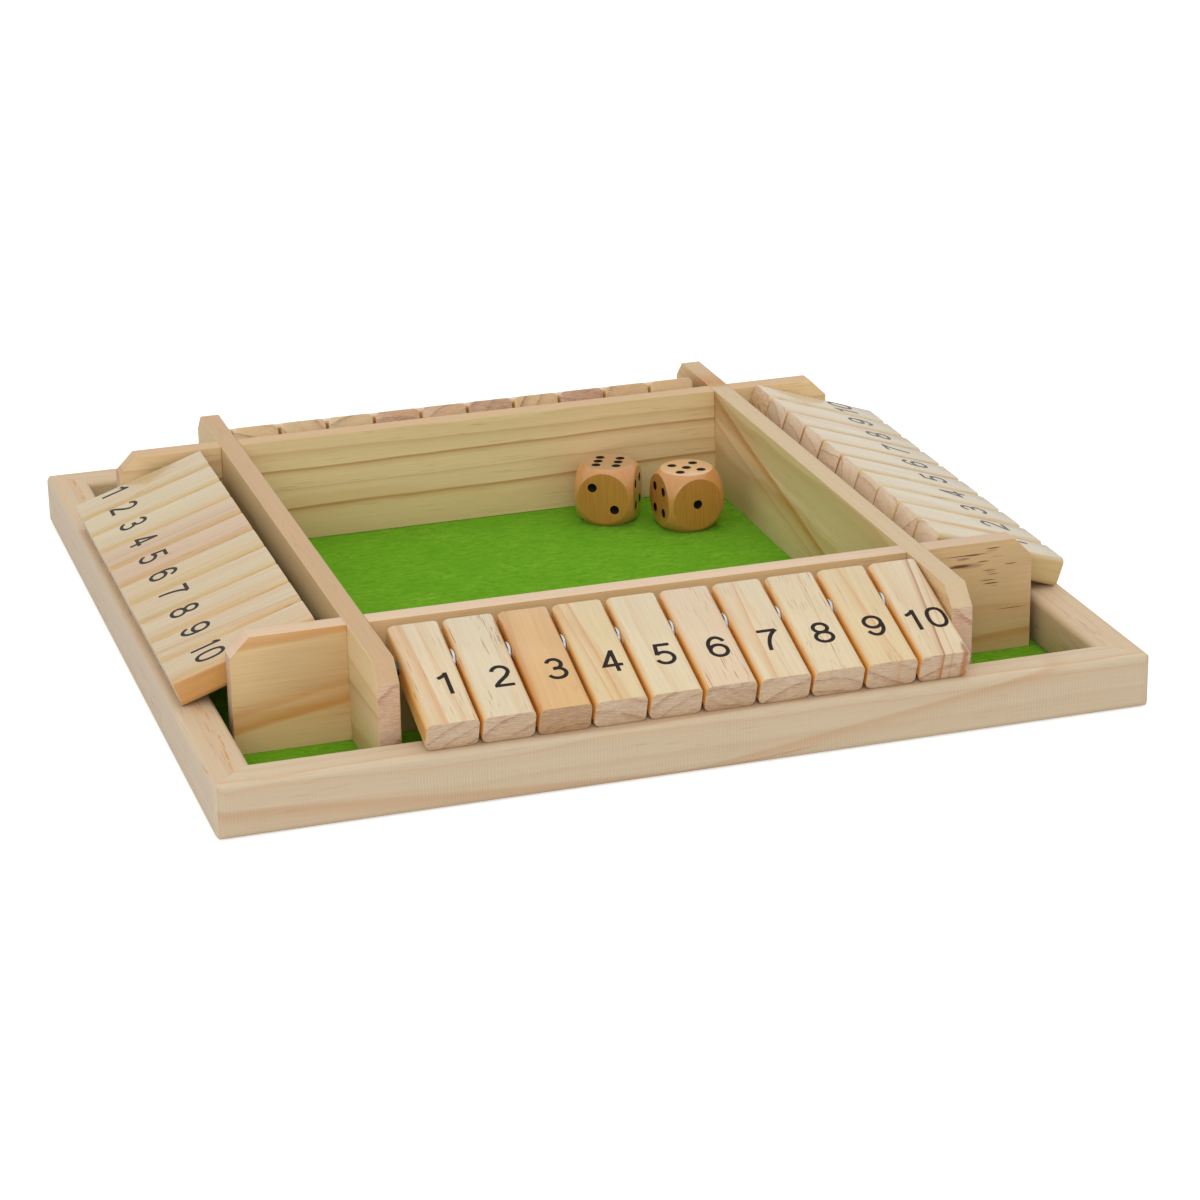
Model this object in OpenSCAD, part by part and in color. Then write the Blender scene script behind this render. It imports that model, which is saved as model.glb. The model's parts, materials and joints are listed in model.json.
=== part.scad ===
// Four-sided shut the box game: a square tray of crossed boards in a low mitred frame,
// with a row of ten numbered tiles on a rod along each side, and two dice on the felt.
// Millimetres. Origin on the table, in the middle of the box. +Z up, front row towards -Y.

/* [Frame] */
// Outside length of each rail, which is the side of the box
box_size = 302; // [270:1:360]
// Width of a rail, seen from above
rail_w = 14; // [12:0.5:18]
// Height of a rail
rail_h = 18; // [14:0.5:22]
// Radius of the box's upright outer corners
corner_r = 3.5; // [2.5:0.5:12]
// Radius that eases a rail's long edges
rail_edge_r = 2.5; // [1:0.1:3]

/* [Floor] */
// Thickness of the base board
base_t = 2.5; // [2:0.1:4]
// Width of the rebate in the rails that the base board is let into
base_let_in = 5; // [3:0.5:7]
// Thickness of the felt
felt_t = 0.5; // [0.3:0.1:1]
// Gap between the felt's edge and the rails
felt_gap = 0.2; // [0:0.1:1]

/* [Boards] */
// Inside width of the square tray
tray_size = 179; // [149:1:200]
// Thickness of the four upright boards
board_t = 7; // [5.5:0.5:9]
// Height of the boards above the felt
board_h = 38.5; // [32:0.5:48]
// Gap between a board's end and the rail that it points at
board_end_gap = 3.5; // [1:0.5:6]
// Length of the sloping cut at each board's upper end corners
corner_cut = 6.3; // [3:0.1:9]
// Play on each side of a board in the slot of the board that it crosses
slot_play = 0.05; // [0:0.01:0.2]

/* [Tiles] */
// Thickness of a tile
tile_t = 10; // [8:0.5:12]
// Radius of a tile's long edges
tile_edge_r = 2.2; // [1:0.1:3.5]
// Empty space in the row before tile 1
first_gap = 3.5; // [1:0.5:6]
// Empty space in the row after tile 10
last_gap = 0.5; // [0.3:0.1:2]
// Distance from a tile's inner end to the middle of its rod
rod_from_inner_end = 14.5; // [11:0.5:18]
// Room between the tray board and a tile's inner end as the end swings past
swing_gap = 5.5; // [2:0.5:8]
// Distance from the box's outer face to the line where the tiles rest on the rail
rest_inset = 3.5; // [3:0.25:6]
// Height of a resting tile above the rail
seat_gap = 0.05; // [0:0.05:0.2]

/* [Rods] */
// Diameter of a rod
rod_d = 4; // [3:0.25:5]
// Depth of the blind holes that hold a rod's ends
rod_hole_depth = 4; // [2:0.5:5]
// Distance from the boards' top down to the middle of the rods
rod_below_top = 8.1; // [6:0.1:11]
// Radial play of a rod in the boards
rod_hold_play = 0.03; // [0:0.01:0.1]
// Radial play of a tile on its rod
tile_bore_play = 0.1; // [0.05:0.05:0.3]
// Radial play of a washer on its rod
washer_bore_play = 0.15; // [0.05:0.05:0.4]
// Outer diameter of a washer
washer_d = 8; // [7:0.5:9]
// Thickness of a washer
washer_t = 0.8; // [0.5:0.1:1.2]
// Gap between a washer and the tile on each side of it
washer_play = 0.1; // [0.05:0.05:0.3]

/* [Dice] */
// Size of a die across its flat faces
die_size = 21.5; // [14:0.5:22]
// Diameter of the round flat on each face
die_flat_d = 19; // [12:0.5:20]
// Left die: from its middle to the tray's right board
left_die_from_right = 47; // [47:0.5:100]
// Left die: from its middle to the tray's back board
left_die_from_back = 16; // [14.5:0.5:17]
// Left die: turn, anticlockwise
left_die_turn = -28; // [-45:1:45]
// Right die: from its middle to the tray's right board
right_die_from_right = 22.5; // [16:0.5:22.5]
// Right die: from its middle to the tray's back board
right_die_from_back = 32.5; // [31.5:0.5:130]
// Right die: turn, anticlockwise
right_die_turn = 3; // [-45:1:45]

/* [Hidden] */
$fn = 64;
past = 1;              // how far a cutting shape runs past what it cuts
tile_count = 10;       // the numbers run from 1 to 10 on every side
sides = ["front", "right", "back", "left"];

// Frame and floor
half = box_size / 2;
rail_in = half - rail_w;
felt_z = base_t;
floor_z = base_t + felt_t;

// Boards: tray_half is the tray face of a board, bay_half the face towards its bay
tray_half = tray_size / 2;
bay_half = tray_half + board_t;
board_half = rail_in - board_end_gap;
board_top = floor_z + board_h;

// Tile row: widths fill the tray's width, less the washers and the room at both ends
tile_gap = washer_t + 2 * washer_play;
tile_w = (tray_size - first_gap - last_gap - (tile_count - 1) * tile_gap) / tile_count;
tile_step = tile_w + tile_gap;
tile_1_x = -tray_half + first_gap + tile_w / 2;

// Rod: out is the distance from the box's middle, and the tile's inner end swings clear
swing_r = norm([rod_from_inner_end, tile_t / 2]);
rod_out = bay_half + swing_gap + swing_r;
rod_z = board_top - rod_below_top;
rod_half = tray_half + rod_hole_depth;

// A resting tile's lower outer edge lies on the rail, which settles its length and slope
rest_run = half - rest_inset - rod_out;
rest_drop = rod_z - rail_h - seat_gap;
rod_from_outer_end = sqrt(pow(rest_run, 2) + pow(rest_drop, 2) - pow(tile_t / 2, 2));
tile_len = rod_from_inner_end + rod_from_outer_end;
tile_slope = atan2(rest_drop, rest_run) - atan2(tile_t / 2, rod_from_outer_end);

// Square with four round corners, centred
module rounded_rect(w, h, r) {
    square([w - 2 * r, h], center = true);
    square([w, h - 2 * r], center = true);
    for (x = [-1, 1], y = [-1, 1])
        translate([x * (w / 2 - r), y * (h / 2 - r)]) circle(r);
}

// Turns what is drawn for the front side to the side of this number
module on_side(side) rotate([0, 0, 90 * side]) children();

// Bar along X, from its section drawn across (Y) and up (Z)
module along_x(length) rotate([90, 0, 90]) linear_extrude(length, center = true) children();

module base_board() {
    size = 2 * (rail_in + base_let_in);
    color("burlywood") translate([-size / 2, -size / 2, 0]) cube([size, size, base_t]);
}

module felt_sheet() {
    size = 2 * (rail_in - felt_gap);
    color("limegreen") translate([-size / 2, -size / 2, felt_z]) cube([size, size, felt_t]);
}

// Rail with mitred ends, eased long edges, and a rebate below for the base board
module rail(side) color("navajowhite") on_side(side) intersection() {
    difference() {
        translate([0, -half + rail_w / 2, rail_h / 2])
            along_x(box_size) rounded_rect(rail_w, rail_h, rail_edge_r);
        translate([-half, -rail_in - base_let_in, -past])
            cube([box_size, base_let_in + past, base_t + past]);
    }
    translate([0, 0, -past]) linear_extrude(rail_h + 2 * past)
        rounded_rect(box_size, box_size, corner_r);
    translate([0, 0, -past]) linear_extrude(rail_h + 2 * past)
        polygon([[0, 0], [-box_size, -box_size], [box_size, -box_size]]);
}

// Blind holes for the ends of the two rods that a board carries
module rod_end_holes() {
    for (x = [-1, 1])
        translate([x * rod_out, -tray_half + past, rod_z]) rotate([90, 0, 0])
            cylinder(r = rod_d / 2 + rod_hold_play, h = past + rod_hole_depth);
}

// Upright board whose tray face is tray_half from the middle. Boards on the front and back are
// slotted from above, and those on the left and right from below.
module wall(side) color("wheat") on_side(side) {
    slotted_above = side % 2 == 0;
    slot_w = board_t + 2 * slot_play;
    difference() {
        translate([0, -tray_half, 0]) rotate([90, 0, 0]) linear_extrude(board_t) polygon([
            [-board_half, floor_z], [board_half, floor_z],
            [board_half, board_top - corner_cut], [board_half - corner_cut, board_top],
            [-board_half + corner_cut, board_top], [-board_half, board_top - corner_cut]
        ]);
        for (x = [-1, 1])
            translate([
                x * (tray_half + board_t / 2) - slot_w / 2, -bay_half - past,
                slotted_above ? floor_z + board_h / 2 : floor_z - past
            ]) cube([slot_w, board_t + 2 * past, board_h / 2 + past]);
        rod_end_holes();
    }
}

module rod(side) color("silver") on_side(side)
    translate([-rod_half, -rod_out, rod_z]) rotate([0, 90, 0]) cylinder(d = rod_d, h = 2 * rod_half);

// Washer that hangs on the rod between tile n and the next tile
module washer(n) {
    bore_r = rod_d / 2 + washer_bore_play;
    translate([tile_1_x + (n - 0.5) * tile_step - washer_t / 2, -rod_out, rod_z - washer_bore_play])
        rotate([0, 90, 0]) difference() {
            cylinder(d = washer_d, h = washer_t);
            translate([0, 0, -past]) cylinder(r = bore_r, h = washer_t + 2 * past);
        }
}

module rod_washers() color("gainsboro")
    for (side = [0:3], n = [1:tile_count - 1]) on_side(side) washer(n);

// Tile at rest, sloping down and outwards from its rod to the rail
module tile(side, n) color("khaki") on_side(side)
    translate([tile_1_x + (n - 1) * tile_step, -rod_out, rod_z]) rotate([tile_slope, 0, 0])
        difference() {
            translate([0, rod_from_inner_end, 0]) rotate([90, 0, 0]) linear_extrude(tile_len)
                rounded_rect(tile_w, tile_t, tile_edge_r);
            translate([-tile_w / 2 - past, 0, 0]) rotate([0, 90, 0])
                cylinder(r = rod_d / 2 + tile_bore_play, h = tile_w + 2 * past);
        }

// Cube whose corners are turned off by a ball, which leaves a round flat on each face. It lies in
// the tray's back right corner, its middle so far from the right board and from the back board.
module die(from_right, from_back, turn) color("peru")
    translate([tray_half - from_right, tray_half - from_back, floor_z + die_size / 2])
    rotate([0, 0, turn]) intersection() {
        cube(die_size, center = true);
        sphere(r = norm([die_size, die_flat_d]) / 2, $fn = 96);
    }

base_board();
felt_sheet();
rod_washers();
die(left_die_from_right, left_die_from_back, left_die_turn);  // left_die
die(right_die_from_right, right_die_from_back, right_die_turn);  // right_die
for (side = [0:3]) {
    rail(side);
    wall(side);
    rod(side);
    for (n = [1:tile_count])
        tile(side, n);
}
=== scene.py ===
import json
import math
import random
import bmesh
import bpy
from mathutils import Euler, Matrix, Vector


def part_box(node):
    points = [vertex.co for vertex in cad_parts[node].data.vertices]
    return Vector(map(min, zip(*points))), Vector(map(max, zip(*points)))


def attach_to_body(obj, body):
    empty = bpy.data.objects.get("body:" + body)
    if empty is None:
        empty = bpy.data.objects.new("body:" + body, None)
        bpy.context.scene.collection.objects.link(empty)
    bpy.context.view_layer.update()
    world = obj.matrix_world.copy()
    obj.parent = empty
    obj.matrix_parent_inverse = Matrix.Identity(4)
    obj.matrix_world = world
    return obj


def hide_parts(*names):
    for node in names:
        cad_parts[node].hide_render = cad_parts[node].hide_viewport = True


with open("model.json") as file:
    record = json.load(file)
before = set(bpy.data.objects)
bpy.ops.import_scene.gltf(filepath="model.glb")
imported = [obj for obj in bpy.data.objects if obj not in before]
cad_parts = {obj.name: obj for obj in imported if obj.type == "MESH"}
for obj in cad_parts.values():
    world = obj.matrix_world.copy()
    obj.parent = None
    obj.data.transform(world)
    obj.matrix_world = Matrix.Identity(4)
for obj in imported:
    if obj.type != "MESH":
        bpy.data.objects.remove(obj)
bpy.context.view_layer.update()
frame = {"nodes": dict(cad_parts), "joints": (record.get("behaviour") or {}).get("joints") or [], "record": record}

mm = 0.001
sideNames = ["front", "right", "back", "left"]   # side k is the front side turned k quarter turns
tileNumbers = range(1, 11)
bodies = frame["record"]["behaviour"]["bodies"]
bodyOfNode = {member: body for body, members in bodies.items() for member in members}


def toLinear(hexColour):
    channels = [int(hexColour[i:i + 2], 16) / 255 for i in (1, 3, 5)]
    return [c / 12.92 if c <= 0.04045 else ((c + 0.055) / 1.055) ** 2.4 for c in channels] + [1.0]


# Adds a node with its settings. An input is a value, a hex colour, a socket to link, or a node, which
# stands for the first output that it shows. levels are the places and grey levels of a colour ramp
def addNode(tree, kind, inputs=None, levels=(), **settings):
    node = tree.nodes.new("ShaderNode" + kind)
    for name, value in settings.items():
        setattr(node, name, value)
    for _ in levels[2:]:
        node.color_ramp.elements.new(1.0)
    for i, (at, level) in enumerate(levels):
        node.color_ramp.elements[i].position = at
        node.color_ramp.elements[i].color = (level, level, level, 1.0)
    for name, value in (inputs or {}).items():
        if isinstance(value, bpy.types.Node):
            value = next(output for output in value.outputs if output.enabled)
        if isinstance(value, bpy.types.NodeSocket):
            tree.links.new(value, node.inputs[name])
        else:
            node.inputs[name].default_value = toLinear(value) if isinstance(value, str) else value
    return node


def emptyMaterial(name):
    material = bpy.data.materials.new(name)
    material.use_nodes = True
    material.node_tree.nodes.clear()
    return material, material.node_tree


def meshFrom(bm, name):
    mesh = bpy.data.meshes.new(name)
    bm.to_mesh(mesh)
    bm.free()
    return mesh


def newObject(name, mesh):
    piece = bpy.data.objects.new(name, mesh)
    bpy.context.scene.collection.objects.link(piece)
    return piece


def everyPart(bm):
    return bm.verts[:] + bm.edges[:] + bm.faces[:]


def smoothByAngle(mesh, degrees):
    for face in mesh.polygons:
        face.use_smooth = True
    mesh.set_sharp_from_angle(angle=math.radians(degrees))


def attach(piece, node):
    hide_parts(node)
    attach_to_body(piece, bodyOfNode[node])


# Planed pine. Early wood is pale cream, late wood an orange-tan line, sharp on one side of each ring,
# with short resin dashes along the grain. The ends are pinker and rougher and show the saw.
pineLook = {
    "early": "#e3cfa0",      # pale wood between the growth lines
    "blush": "#dcc0a0",      # pinker patches in the early wood
    "late": "#c98f48",
    "dash": "#8a5a30",
    "end": "#cfae90",
    "endLate": "#a06a42",
    "scratch": "#e2cdb2",    # fibres torn up by the saw on the ends
    "edge": "#c98f48",       # faces that look away from the top
    "edgeShare": 0.35,
    "ring": 6.0,             # mm between growth rings
    "ringShare": 0.65,
    "warp": 5.0,             # mm that the rings wander
    "fibre": 0.10,
    "lines": 0.30,           # strength of the fine pale and dark lines between the rings
    "dashes": 0.5,
    "roughness": 0.45,
    "coat": 0.0,
    "coatRoughness": 0.2,
    "bump": 0.25,
    "ribs": 0.0,             # cross-cut saw ribs on the faces that look away from the top
    "ribPitch": 1.0,         # mm
    "up": (0.0, 0.0, 1.0),   # outward normal of the face that counts as the top
    "streak": "#b87a38",
    "streaks": [],           # bold growth lines: (across, lean, width, share, last place along)
    "streakEnd": 0.0,        # how much of them shows on the ends
    "broken": False,         # bold lines in dashes, not unbroken
    "streakEdge": 1.0,       # how much of them shows on the faces that look away from the top
    "wobble": 7.0,           # mm that they wander
    "marks": [],             # single dark spots: (across, along, half height, half length, share)
    "across": (0.0, 0.0, 1.0),   # the two directions that streaks and marks are measured in
    "alongs": (1.0, 0.0, 0.0),
    "relief": 0.15,          # mm that the grain stands up
    "ringStrength": (0.9, 0.15),   # of single rings: span and least
    "ragged": (1.3, 0.35),         # how the fine lines break up a bold one: span and least
    "streakFade": 0.1,             # per mm, up to a bold line's last place
    "markRagged": 0.9,             # how far the fine lines push a spot's rim in and out
    "fibreHeight": 0.7, "dashDepth": 0.6, "scratchHeight": 2.5,   # shares of the relief
    "fibreRough": 0.15, "endRough": 0.3,   # added to the roughness
    "ribWander": 14.0,             # radians
}
# Fields of noise: waves per mm along and across the grain, detail, roughness, and the look that a
# field is only made for
pineFields = {
    "drift": ((0.012, 0.05, 0.05), 2.0, 0.5, None),      # the rings' wander
    "fibre": ((0.10, 5.0, 5.0), 3.0, 0.5, None),         # 10 mm long and 0.2 mm wide
    "lines": ((0.012, 1.1, 1.1), 3.0, 0.65, None),       # 80 mm long and 0.9 mm wide
    "patch": ((0.010, 0.07, 0.07), 1.0, 0.5, None),      # 100 mm long and 14 mm wide
    "dash": ((0.085, 2.1, 2.1), 1.0, 0.5, None),         # 12 mm long and 0.5 mm wide
    "dashPatch": ((0.03, 0.14, 0.14), 1.0, 0.5, None),   # where there are any dashes
    "broken": ((0.22, 1.4, 1.4), 2.0, 0.5, "broken"),    # gaps in a bold line
    "ribWander": ((0.15, 0.02, 0.02), 2.0, 0.5, "ribs"),
    "ribPatch": ((0.04, 0.06, 0.1), 1.0, 0.5, "ribs"),
}
# Where each feature starts and ends on its ramp, and how strong it is there
pineLevels = {
    "ring": [(0.0, 0.5), (0.04, 0.0), (0.50, 0.06), (0.78, 0.35), (0.93, 0.9), (1.0, 0.7)],
    "dash": [(0.645, 0.0), (0.70, 1.0)],
    "dashPatch": [(0.47, 0.0), (0.57, 1.0)],
    "end": [(0.75, 0.0), (0.92, 1.0)],
    "edge": [(0.35, 1.0), (0.96, 0.0)],
    "streak": [(0.0, 0.0), (0.30, 0.35), (0.47, 1.0), (0.52, 0.85), (0.57, 0.0)],
    "broken": [(0.46, 0.12), (0.56, 1.0)],
    "mark": [(0.45, 1.0), (1.0, 0.0)],
    "scratch": [(0.42, 0.0), (0.70, 0.75)],
    "ribPatch": [(0.4, 0.15), (0.65, 1.0)],
}
# Slant in radians, waves per mm, detail and roughness of the saw's scratches
sawLook = {"slant": 0.7, "perMm": (0.2, 0.35, 3.2), "detail": 3.0, "roughness": 0.7}


# turn brings the piece's grain to X. pith, the log's middle, and origin are in mm in those axes.
# Sockets 6 and 7 of a Mix node are its colours
def pine(name, turn, pith, look, origin=(0.0, 0.0, 0.0)):
    look = {**pineLook, **look}
    material, tree = emptyMaterial(name)
    place = addNode(tree, "TexCoord")
    grain = addNode(tree, "Mapping", {
        "Vector": place.outputs["Object"], "Rotation": turn.to_euler("XYZ"), "Scale": (1 / mm,) * 3,
        "Location": tuple(-p for p in pith)})
    field = {}
    for fieldName, (perMm, detail, roughness, onlyFor) in pineFields.items():
        if onlyFor is None or look[onlyFor]:
            stretched = addNode(tree, "VectorMath", {0: grain, 1: perMm}, operation="MULTIPLY")
            field[fieldName] = addNode(tree, "TexNoise", {
                "Vector": stretched, "Scale": 1.0, "Detail": detail, "Roughness": roughness})
    fibre = field["fibre"]
    unevenFibre = addNode(tree, "Math", {0: fibre, 1: 0.5}, operation="SUBTRACT")
    unevenLines = addNode(tree, "Math", {0: field["lines"], 1: 0.5}, operation="SUBTRACT")

    # Growth rings: the distance from the pith, with a slow wander and each ring its own strength
    drift = addNode(tree, "Math", {0: field["drift"], 1: 0.5}, operation="SUBTRACT")
    radius = addNode(tree, "VectorMath", {0: grain, 1: (0.0, 1.0, 1.0)}, operation="MULTIPLY")
    radius = addNode(tree, "VectorMath", {0: radius}, operation="LENGTH")
    radius = addNode(tree, "Math", {0: drift, 1: look["warp"], 2: radius}, operation="MULTIPLY_ADD")
    rings = addNode(tree, "Math", {0: radius, 1: look["ring"]}, operation="DIVIDE")
    inRing = addNode(tree, "Math", {0: rings}, operation="FRACT")
    whichRing = addNode(tree, "Math", {0: rings}, operation="FLOOR")
    drawn = addNode(tree, "TexWhiteNoise", {"W": whichRing}, noise_dimensions="1D")
    span, least = look["ringStrength"]
    strength = addNode(tree, "Math", {0: drawn, 1: span, 2: least}, operation="MULTIPLY_ADD")
    late = addNode(tree, "ValToRGB", {0: inRing}, pineLevels["ring"])
    late = addNode(tree, "Math", {0: late, 1: strength}, operation="MULTIPLY")

    # Short resin dashes, which come in patches
    dash = addNode(tree, "ValToRGB", {0: field["dash"]}, pineLevels["dash"])
    dashPatch = addNode(tree, "ValToRGB", {0: field["dashPatch"]}, pineLevels["dashPatch"])
    dash = addNode(tree, "Math", {0: dash, 1: dashPatch}, operation="MULTIPLY")

    # How far a face looks along the grain, and how far it looks away from the top
    for way, axis in (("end", turn.inverted() @ Vector((1.0, 0.0, 0.0))), ("edge", look["up"])):
        facing = addNode(tree, "VectorMath", {0: place.outputs["Normal"], 1: axis}, operation="DOT_PRODUCT")
        facing = addNode(tree, "Math", {0: facing}, operation="ABSOLUTE")
        field[way] = addNode(tree, "ValToRGB", {0: facing}, pineLevels[way])

    lateShare = addNode(tree, "Math", {0: late, 1: look["ringShare"]}, operation="MULTIPLY")
    edgeShare = addNode(tree, "Math", {0: field["edge"], 1: look["edgeShare"]}, operation="MULTIPLY")
    face = addNode(tree, "Mix", {0: field["patch"], 6: look["early"], 7: look["blush"]}, data_type="RGBA")
    face = addNode(tree, "Mix", {0: lateShare, 6: face, 7: look["late"]}, data_type="RGBA")
    # Faces that look away from the top take the edge colour, which on the tiles is partly painted shade for the
    # glow in the gaps between them
    face = addNode(tree, "Mix", {0: edgeShare, 6: face, 7: look["edge"]}, data_type="RGBA")
    end = addNode(tree, "Mix", {0: late, 6: look["end"], 7: look["endLate"]}, data_type="RGBA")

    # Bold growth lines, soft on one side and made ragged by the fine lines
    across, alongs = Vector(look["across"]), Vector(look["alongs"])
    fromOrigin = Vector(pith) - Vector(origin)
    span, least = look["ragged"]
    ragged = addNode(tree, "Math", {0: field["lines"], 1: span, 2: least}, operation="MULTIPLY_ADD")
    onEnd = []
    for at, lean, width, share, *upTo in look["streaks"]:
        rule = across - lean * alongs
        reach = addNode(tree, "VectorMath", {0: grain, 1: rule}, operation="DOT_PRODUCT")
        reach = addNode(tree, "Math", {0: reach, 1: rule.dot(fromOrigin) - at}, operation="ADD")
        reach = addNode(tree, "Math", {0: drift, 1: look["wobble"], 2: reach}, operation="MULTIPLY_ADD")
        reach = addNode(tree, "Math", {0: reach, 1: width}, operation="DIVIDE")
        reach = addNode(tree, "Math", {0: reach, 1: 0.5, 2: 0.5}, operation="MULTIPLY_ADD")
        band = addNode(tree, "ValToRGB", {0: reach}, pineLevels["streak"])
        band = addNode(tree, "Math", {0: band, 1: ragged}, operation="MULTIPLY")
        band = addNode(tree, "Math", {0: band, 1: share}, operation="MULTIPLY", use_clamp=True)
        if look["streakEdge"] < 1.0:
            onEdge = {0: field["edge"], 1: 1.0 - look["streakEdge"]}
            onEdge = addNode(tree, "Math", onEdge, operation="MULTIPLY")
            offEdge = addNode(tree, "Math", {0: 1.0, 1: onEdge}, operation="SUBTRACT")
            band = addNode(tree, "Math", {0: band, 1: offEdge}, operation="MULTIPLY")
        if look["broken"]:
            gaps = addNode(tree, "ValToRGB", {0: field["broken"]}, pineLevels["broken"])
            band = addNode(tree, "Math", {0: band, 1: gaps}, operation="MULTIPLY")
        if upTo:
            left = addNode(tree, "VectorMath", {0: grain, 1: alongs}, operation="DOT_PRODUCT")
            last = upTo[0] - alongs.dot(fromOrigin)
            left = addNode(tree, "Math", {0: last, 1: left}, operation="SUBTRACT")
            left = addNode(tree, "Math", {0: left, 1: look["streakFade"]}, operation="MULTIPLY",
                           use_clamp=True)
            band = addNode(tree, "Math", {0: band, 1: left}, operation="MULTIPLY")
        face = addNode(tree, "Mix", {0: band, 6: face, 7: look["streak"]}, data_type="RGBA")
        onEnd.append(band)

    # Single dark spots, soft and ragged at the rim
    for at, along, halfHeight, halfLength, share in look["marks"]:
        perMm = Vector([abs(a) / halfHeight + abs(b) / halfLength for a, b in zip(across, alongs)])
        centre = Vector(origin) + across * at + alongs * along - Vector(pith)
        toOrigin = [-c * k for c, k in zip(centre, perMm)]
        inside = addNode(tree, "Mapping", {"Vector": grain, "Scale": perMm, "Location": toOrigin})
        away = addNode(tree, "VectorMath", {0: inside}, operation="LENGTH")
        away = addNode(tree, "Math", {0: unevenLines, 1: look["markRagged"], 2: away},
                       operation="MULTIPLY_ADD")
        spot = addNode(tree, "ValToRGB", {0: away}, pineLevels["mark"])
        spot = addNode(tree, "Math", {0: spot, 1: share}, operation="MULTIPLY")
        face = addNode(tree, "Mix", {0: spot, 6: face, 7: look["dash"]}, data_type="RGBA")
        onEnd.append(spot)
    dashShare = addNode(tree, "Math", {0: dash, 1: look["dashes"]}, operation="MULTIPLY")
    face = addNode(tree, "Mix", {0: dashShare, 6: face, 7: look["dash"]}, data_type="RGBA")

    # The end has the same rings and bold lines, and the saw's slanting scratches
    slanted = addNode(tree, "Mapping", {
        "Vector": grain, "Rotation": (sawLook["slant"], 0.0, 0.0), "Scale": sawLook["perMm"]})
    scratches = addNode(tree, "TexNoise", {
        "Vector": slanted, "Scale": 1.0, "Detail": sawLook["detail"], "Roughness": sawLook["roughness"]})
    torn = addNode(tree, "ValToRGB", {0: scratches}, pineLevels["scratch"])
    end = addNode(tree, "Mix", {0: torn, 6: end, 7: look["scratch"]}, data_type="RGBA")
    if look["streakEnd"]:
        for band in onEnd:
            band = addNode(tree, "Math", {0: band, 1: look["streakEnd"]}, operation="MULTIPLY")
            end = addNode(tree, "Mix", {0: band, 6: end, 7: look["streak"]}, data_type="RGBA")
    colour = addNode(tree, "Mix", {0: field["end"], 6: face, 7: end}, data_type="RGBA")

    shade = addNode(tree, "Math", {0: unevenFibre, 1: look["fibre"] * 2, 2: 1.0}, operation="MULTIPLY_ADD")
    shade = addNode(tree, "Math", {0: unevenLines, 1: look["lines"], 2: shade}, operation="MULTIPLY_ADD")
    height = addNode(tree, "Math", {0: fibre, 1: look["fibreHeight"]}, operation="MULTIPLY")
    depth = addNode(tree, "Math", {0: dash, 1: look["dashDepth"]}, operation="MULTIPLY")
    height = addNode(tree, "Math", {0: height, 1: depth}, operation="SUBTRACT")
    if look["ribs"]:
        alongGrain = addNode(tree, "SeparateXYZ", {0: grain})
        perMm = 2 * math.pi / look["ribPitch"]
        wave = addNode(tree, "Math", {0: alongGrain, 1: perMm}, operation="MULTIPLY")
        wave = addNode(tree, "Math", {0: field["ribWander"], 1: look["ribWander"], 2: wave},
                       operation="MULTIPLY_ADD")
        wave = addNode(tree, "Math", {0: wave}, operation="SINE")
        ribbed = addNode(tree, "ValToRGB", {0: field["ribPatch"]}, pineLevels["ribPatch"])
        ribbed = addNode(tree, "Math", {0: ribbed, 1: field["edge"]}, operation="MULTIPLY")
        wave = addNode(tree, "Math", {0: wave, 1: ribbed}, operation="MULTIPLY")
        shade = addNode(tree, "Math", {0: wave, 1: look["ribs"], 2: shade}, operation="MULTIPLY_ADD")
        height = addNode(tree, "Math", {0: height, 1: wave}, operation="ADD")
    sawn = addNode(tree, "Math", {0: scratches, 1: field["end"]}, operation="MULTIPLY")
    height = addNode(tree, "Math", {0: sawn, 1: look["scratchHeight"], 2: height}, operation="MULTIPLY_ADD")
    relief = addNode(tree, "Bump", {
        "Strength": look["bump"], "Distance": look["relief"] * mm, "Height": height})
    rough = addNode(tree, "Math", {0: fibre, 1: look["fibreRough"], 2: look["roughness"]},
                    operation="MULTIPLY_ADD")
    rough = addNode(tree, "Math", {0: field["end"], 1: look["endRough"], 2: rough},
                    operation="MULTIPLY_ADD")
    shaded = addNode(tree, "VectorMath", {0: colour, 1: shade}, operation="MULTIPLY")
    shader = addNode(tree, "BsdfPrincipled", {
        "Base Color": shaded, "Roughness": rough, "Normal": relief, "Coat Weight": look["coat"],
        "Coat Roughness": look["coatRoughness"]})
    addNode(tree, "OutputMaterial", {"Surface": shader})
    return material


inkLook = {
    "dark": "#18120e", "light": "#32261e",
    "grain": 2.5,            # patches per mm
    "film": 0.02, "bump": 0.15,   # film in mm
    "shader": {"Roughness": 0.6, "Specular IOR Level": 0.1, "Coat Weight": 1.0, "Coat Roughness": 0.14,
               "Coat IOR": 1.08},
}


def printingInk():
    # Screen-printed ink: near black, uneven where the grain drinks it, grey only at a grazing angle
    material, tree = emptyMaterial("screenPrintedInk")
    place = addNode(tree, "TexCoord")
    uneven = addNode(tree, "TexNoise", {
        "Vector": place.outputs["Object"], "Scale": inkLook["grain"] / mm, "Detail": 2.0})
    colour = addNode(tree, "Mix", {0: uneven, 6: inkLook["dark"], 7: inkLook["light"]}, data_type="RGBA")
    relief = addNode(tree, "Bump", {
        "Strength": inkLook["bump"], "Distance": inkLook["film"] * mm, "Height": uneven})
    shader = addNode(tree, "BsdfPrincipled", {"Base Color": colour, "Normal": relief, **inkLook["shader"]})
    addNode(tree, "OutputMaterial", {"Surface": shader})
    return material


# The rod's colours are painted shade: far darker than bright steel, they stand in for the shade in the gaps where
# the rod lies.
rodPaintedShadeLook = {"dark": "#3c3e41", "light": "#5c5f62", "roughness": 0.40}
washerLook = {"dark": "#9ea2a6", "light": "#ced1d3", "roughness": 0.26}
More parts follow.
